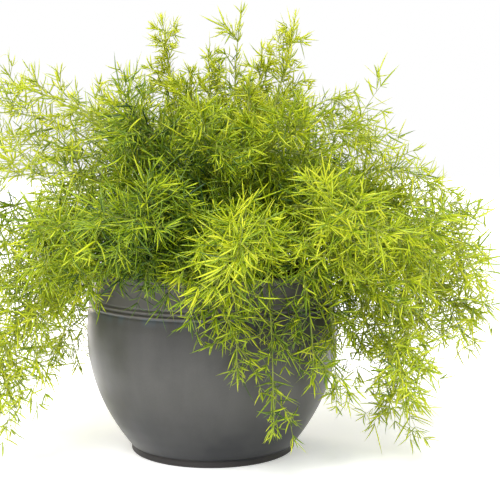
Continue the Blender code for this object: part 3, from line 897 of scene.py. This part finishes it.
class Nodes:
    """The nodes of a material or a world under construction, with short ways to add and join them."""

    def __init__(self, owner, shader="Principled BSDF"):
        self.owner = owner
        owner.use_nodes = True
        self.tree = owner.node_tree
        self.shader = self.tree.nodes[shader]

    def add(self, kind, inputs=(), **settings):
        """A node with its settings and its inputs, each a number, a colour or another node's socket."""
        node = self.tree.nodes.new(kind)
        for key, value in settings.items():
            setattr(node, key, value)
        for key, value in dict(inputs).items():
            self.join(value, node.inputs[key])
        return node

    def join(self, value, socket):
        """Set a socket to a value, or link it to another node's socket."""
        if isinstance(value, bpy.types.NodeSocket):
            self.tree.links.new(value, socket)
        elif isinstance(value, tuple) and len(value) == 3 and socket.type == "RGBA":
            socket.default_value = (*value, 1.0)
        else:
            socket.default_value = value

    def math(self, operation, *values):
        return self.add("ShaderNodeMath", enumerate(values), operation=operation).outputs["Value"]

    def noise(self, where, scale, detail=3.0, roughness=0.5):
        inputs = {"Vector": where, "Scale": scale, "Detail": detail, "Roughness": roughness}
        return self.add("ShaderNodeTexNoise", inputs).outputs["Fac"]

    def stretched(self, where, scale):
        """A place with its height scaled, for a pattern that runs down the object."""
        inputs = {"Vector": where, "Scale": (1.0, 1.0, scale)}
        return self.add("ShaderNodeMapping", inputs).outputs["Vector"]

    def span(self, value, low, high, to_low=0.0, to_high=1.0):
        """Map a value's range to another, smoothly and clamped."""
        inputs = {"Value": value, "From Min": low, "From Max": high, "To Min": to_low, "To Max": to_high}
        return self.add("ShaderNodeMapRange", inputs, interpolation_type="SMOOTHSTEP").outputs["Result"]

    def blend(self, factor, first, second, mode="MIX"):
        node = self.add("ShaderNodeMix", data_type="RGBA", blend_type=mode)
        self.join(factor, node.inputs["Factor"])
        self.join(first, node.inputs["A"])
        self.join(second, node.inputs["B"])
        return node.outputs["Result"]

    def ramp(self, factor, stops):
        node = self.add("ShaderNodeValToRGB", {"Fac": factor})
        elements = node.color_ramp.elements
        elements.remove(elements[1])
        elements[0].position, elements[0].color = stops[0][0], (*stops[0][1], 1.0)
        for position, colour in stops[1:]:
            elements.new(position).color = (*colour, 1.0)
        return node.outputs["Color"]

    def relief(self, height, distance, strength=1.0):
        inputs = {"Height": height, "Distance": distance, "Strength": strength}
        self.join(self.add("ShaderNodeBump", inputs).outputs["Normal"], self.shader.inputs["Normal"])

    def place(self):
        """Where a point is on the object, and its height."""
        where = self.add("ShaderNodeTexCoord").outputs["Object"]
        return where, self.add("ShaderNodeSeparateXYZ", {"Vector": where}).outputs["Z"]

    def finish(self, **inputs):
        for key, value in inputs.items():
            self.join(value, self.shader.inputs[key.replace("_", " ")])
        return self.owner


def material_nodes(name):
    return Nodes(bpy.data.materials.new(name))


NEEDLE_COLOURS = (
    (0.00, (0.011, 0.040, 0.014)), (0.25, (0.046, 0.116, 0.013)), (0.50, (0.176, 0.292, 0.006)),
    (0.72, (0.380, 0.496, 0.006)), (0.90, (0.560, 0.650, 0.010)), (1.00, (0.700, 0.735, 0.030)),
)
STEM_COLOURS = (
    (0.00, (0.150, 0.110, 0.045)), (0.15, (0.190, 0.185, 0.045)), (0.50, (0.270, 0.330, 0.045)),
    (1.00, (0.480, 0.520, 0.110)),
)


def foliage_material():
    """Needles and stems: their colour is a function of the colour map alone."""
    nodes = material_nodes("foliage")
    where = nodes.add("ShaderNodeUVMap", uv_map="OFBake").outputs["UV"]
    split = nodes.add("ShaderNodeSeparateXYZ", {"Vector": where})
    tone, along = split.outputs["X"], split.outputs["Y"]
    root, tip = NEEDLE_ROWS
    inputs = {"Value": along, "From Min": root, "From Max": tip, "To Min": -0.06, "To Max": 0.07}
    paling = nodes.add("ShaderNodeMapRange", inputs).outputs["Result"]
    needle = nodes.ramp(nodes.math("ADD", tone, paling), NEEDLE_COLOURS)
    stem = nodes.ramp(tone, STEM_COLOURS)
    is_stem = nodes.math("GREATER_THAN", along, (tip + STEM_ROW) / 2)
    colour = nodes.blend(is_stem, needle, stem)
    through = nodes.add("ShaderNodeBsdfTranslucent", {"Color": colour})
    nodes.finish(Base_Color=colour, Roughness=0.36, Specular_IOR_Level=0.50)
    inputs = {"Fac": TRANSLUCENCE, 1: nodes.shader.outputs["BSDF"], 2: through.outputs["BSDF"]}
    mix = nodes.add("ShaderNodeMixShader", inputs)
    nodes.join(mix.outputs["Shader"], nodes.tree.nodes["Material Output"].inputs["Surface"])
    return nodes.owner


GLAZE_PLAIN = ((0.060, 0.059, 0.056), (0.076, 0.074, 0.070))
GLAZE_LOW_SHADE = (0.013, 0.014, 0.016)  # painted shade, darker towards the foot
GLAZE_BAND_LIGHT = (0.140, 0.133, 0.126)  # painted light, paler above the ridge
GLAZE_POOLED = (0.070, 0.090, 0.105)  # right under the ridge
GLAZE_THIN = (0.130, 0.118, 0.108)  # on the two beads and the lip
GLAZE_WORN = (0.048, 0.041, 0.037)  # on the foot


def glaze_material():
    """Dark grey glaze: mottled, darker and bluer low down as painted shade, paler above the ridge as painted
    light, bluer where it pooled, thin on every edge, worn at the foot.
    """
    nodes = material_nodes("glaze")
    ridge = ridge_height()
    where, height = nodes.place()
    cloud = nodes.noise(where, 16.0, 4.0, 0.55)
    mottle = nodes.noise(where, 30.0, 2.0, 0.5)
    grain = nodes.noise(where, 700.0, 2.0)
    runs = nodes.noise(nodes.stretched(where, 0.14), 60.0)
    # painted shade: darker and bluer from the belly down to the foot
    plain = nodes.blend(nodes.span(cloud, 0.35, 0.65), *GLAZE_PLAIN)
    low = nodes.math("ADD", nodes.span(height, 0.100, 0.005), nodes.span(cloud, 0.30, 0.70, -0.20, 0.20))
    colour = nodes.blend(low, plain, GLAZE_LOW_SHADE)
    # mottled all over
    shade = nodes.span(mottle, 0.20, 0.80, 0.95, 1.05)
    shade = nodes.math("ADD", shade, nodes.span(runs, 0.3, 0.7, -0.06, 0.06))
    shade = nodes.math("ADD", shade, nodes.span(grain, 0.2, 0.8, -0.05, 0.05))
    tint = nodes.add("ShaderNodeCombineColor", {"Red": shade, "Green": shade, "Blue": shade}).outputs["Color"]
    colour = nodes.blend(1.0, colour, tint, "MULTIPLY")
    # painted light: paler above the ridge; and bluer in the runs that pooled under it
    band = nodes.span(height, ridge - 0.012, ridge + 0.004)
    colour = nodes.blend(nodes.math("MULTIPLY", band, 0.6), colour, GLAZE_BAND_LIGHT)
    pool_top = ridge - 1.5 * BEAD_PITCH
    pool = nodes.span(height, pool_top - 0.010, pool_top)
    pool = nodes.math("MULTIPLY", pool, nodes.span(height, pool_top + 0.003, pool_top))
    pool = nodes.math("MULTIPLY", pool, nodes.span(runs, 0.42, 0.60))
    colour = nodes.blend(nodes.math("MULTIPLY", pool, 0.75), colour, GLAZE_POOLED)
    # thin on the edges
    patchy = nodes.span(mottle, 0.35, 0.6, 0.25, 0.8)
    for edge, width in ((ridge, 0.0013), (ridge - BEAD_PITCH, 0.0013), (POT_HEIGHT - 0.0012, 0.0022)):
        offset = nodes.math("ABSOLUTE", nodes.math("SUBTRACT", height, edge))
        thin = nodes.math("MULTIPLY", nodes.span(offset, width, 0.0), patchy)
        colour = nodes.blend(thin, colour, GLAZE_THIN)
    # worn at the foot
    worn_edge = nodes.math("ADD", height, nodes.span(mottle, 0.3, 0.7, -0.0020, 0.0020))
    worn = nodes.span(worn_edge, 0.0088, 0.0062)
    colour = nodes.blend(nodes.math("MULTIPLY", worn, 0.5), colour, GLAZE_WORN)
    gloss = nodes.math("ADD", nodes.span(mottle, 0.3, 0.7, 0.30, 0.36), nodes.math("MULTIPLY", worn, 0.22))
    # faint rings from the wheel, and slow waves
    inputs = {"Vector": where, "Scale": 22.0, "Distortion": 1.2, "Detail": 2.0, "Detail Scale": 1.5}
    turned = nodes.add("ShaderNodeTexWave", inputs, bands_direction="Z").outputs["Fac"]
    relief = nodes.math("ADD", nodes.math("MULTIPLY", turned, 0.30), nodes.math("MULTIPLY", cloud, 2.0))
    nodes.relief(relief, 0.00040, 0.40)
    return nodes.finish(Base_Color=colour, Roughness=gloss, Specular_IOR_Level=0.34)


def clay_material():
    """The unglazed inside and underside: fired red-brown clay."""
    nodes = material_nodes("bare_clay")
    where, height = nodes.place()
    mottle = nodes.noise(where, 60.0, 5.0, 0.6)
    grain = nodes.noise(where, 700.0, 2.0)
    colour = nodes.blend(nodes.span(mottle, 0.3, 0.7), (0.060, 0.030, 0.020), (0.115, 0.058, 0.038))
    # darker down the inside wall towards the soil
    deeper_inside = nodes.span(height, POT_HEIGHT - 0.006, soil_edge_height())
    colour = nodes.blend(nodes.math("MULTIPLY", deeper_inside, 0.7), colour, (0.025, 0.016, 0.012))
    nodes.relief(nodes.math("ADD", mottle, nodes.math("MULTIPLY", grain, 0.4)), 0.0006, 0.6)
    return nodes.finish(Base_Color=colour, Roughness=nodes.span(grain, 0.3, 0.7, 0.72, 0.92))


def soil_material(name, dark, light):
    """Rough, matt soil or crumbs, in clods of two tones."""
    nodes = material_nodes(name)
    where, _ = nodes.place()
    clods = nodes.noise(where, 240.0, 5.0, 0.65)
    patches = nodes.noise(where, 45.0, 3.0)
    mix = nodes.math("ADD", nodes.span(clods, 0.35, 0.68), nodes.span(patches, 0.3, 0.7, -0.25, 0.25))
    colour = nodes.blend(mix, dark, light)
    nodes.relief(clods, 0.0012, 0.9)
    return nodes.finish(Base_Color=colour, Roughness=nodes.span(clods, 0.3, 0.7, 0.80, 0.97))


def crown_material():
    """Fibrous brown bark with patches of green."""
    nodes = material_nodes("crown_bark")
    where, _ = nodes.place()
    fibres = nodes.noise(nodes.stretched(where, 0.3), 420.0, 4.0)
    patches = nodes.noise(where, 70.0, 4.0)
    colour = nodes.blend(nodes.span(fibres, 0.35, 0.65), (0.050, 0.034, 0.018), (0.165, 0.118, 0.062))
    colour = nodes.blend(nodes.span(patches, 0.5, 0.75, 0.0, 0.6), colour, (0.080, 0.095, 0.030))
    nodes.relief(fibres, 0.0010, 0.8)
    return nodes.finish(Base_Color=colour, Roughness=nodes.span(fibres, 0.3, 0.7, 0.7, 0.9))


# ---------------- floor, light and camera

def floor_looks():
    """A pale table lit from below."""
    mesh = bpy.data.meshes.new("floor")
    corners = [(FLOOR_HALF * x, FLOOR_HALF * y, 0.0) for x, y in ((-1, -1), (1, -1), (1, 1), (-1, 1))]
    mesh.from_pydata(corners, [], [(0, 1, 2, 3)])
    nodes = material_nodes("floor")
    where, _ = nodes.place()
    faint = nodes.noise(where, 3.0)
    colour = nodes.blend(nodes.span(faint, 0.3, 0.7), (0.93, 0.93, 0.93), (0.95, 0.95, 0.95))
    glow = {"Emission_Color": (1.0, 1.0, 1.0), "Emission_Strength": FLOOR_GLOW}
    floor = link("floor", mesh, nodes.finish(Base_Color=colour, Roughness=0.85, **glow))


def studio_world():
    """White all round to look at.  As light it is bright behind and above and dimmer in front."""
    world = bpy.data.worlds.new("studio")
    bpy.context.scene.world = world
    nodes = Nodes(world, "Background")
    toward = nodes.add("ShaderNodeTexCoord").outputs["Generated"]
    back = nodes.add("ShaderNodeSeparateXYZ", {"Vector": toward}).outputs["Y"]
    inputs = {"Value": back, "From Min": -0.9, "From Max": 0.9, "To Min": WORLD_FRONT, "To Max": WORLD_BACK}
    lit = nodes.add("ShaderNodeMapRange", inputs).outputs["Result"]
    seen = nodes.add("ShaderNodeLightPath").outputs["Is Camera Ray"]
    strength = nodes.add("ShaderNodeMix", {"Factor": seen, "A": lit, "B": 1.0}).outputs["Result"]
    nodes.finish(Color=(1.0, 1.0, 1.0), Strength=strength)


def studio_light():
    """A wide soft bank overhead, a little to the left and the front, and a warm panel behind on the left."""
    studio_world()
    light = bpy.data.lights.new("bank", "SUN")
    light.energy = BANK_POWER
    light.angle = math.radians(BANK_ANGLE)
    lamp = link("bank", light)
    lamp.rotation_euler = Vector(BANK_FROM).to_track_quat("Z", "Y").to_euler()
    add_rim_light()


def add_rim_light():
    """A panel that lights the plant's far edge and is mirrored in the glaze, but isn't seen itself."""
    light = bpy.data.lights.new("rim_light", "AREA")
    light.shape = "RECTANGLE"
    light.size, light.size_y = RIM_SIZE
    light.energy = RIM_POWER
    light.color = RIM_COLOUR
    lamp = link("rim_light", light)
    lamp.location = RIM_FROM
    lamp.rotation_euler = (Vector(RIM_AIM) - Vector(RIM_FROM)).to_track_quat("-Z", "Y").to_euler()
    lamp.visible_camera = False


def add_camera():
    data = bpy.data.cameras.new("camera")
    data.sensor_width = SENSOR_WIDTH
    data.lens = CAMERA_LENS
    data.clip_start = 0.05
    camera = link("camera", data)
    camera.location = (0.0, -CAMERA_DISTANCE, CAMERA_HEIGHT)
    camera.rotation_euler = (math.radians(90.0 - CAMERA_PITCH), 0.0, math.radians(-CAMERA_YAW))
    bpy.context.scene.camera = camera


# ---------------- the whole

def main():
    add_camera()
    floor_looks()
    studio_light()
    bpy.context.scene.view_settings.view_transform = "Standard"
    pot_looks(glaze_material(), clay_material())
    soil_looks(soil_material("soil", (0.012, 0.008, 0.006), (0.050, 0.034, 0.022)))
    crumbs_looks(soil_material("crumbs", (0.020, 0.013, 0.009), (0.095, 0.062, 0.036)))
    crown_looks(crown_material())
    green = foliage_material()
    space = Space()
    curves = [place_stem(space, index, frond) for index, frond in enumerate(FRONDS)]
    for index, (frond, curve) in enumerate(zip(FRONDS, curves)):
        frond_looks(index, frond, curve, place_branchlets(space, curve, frond[0], index), green)


main()
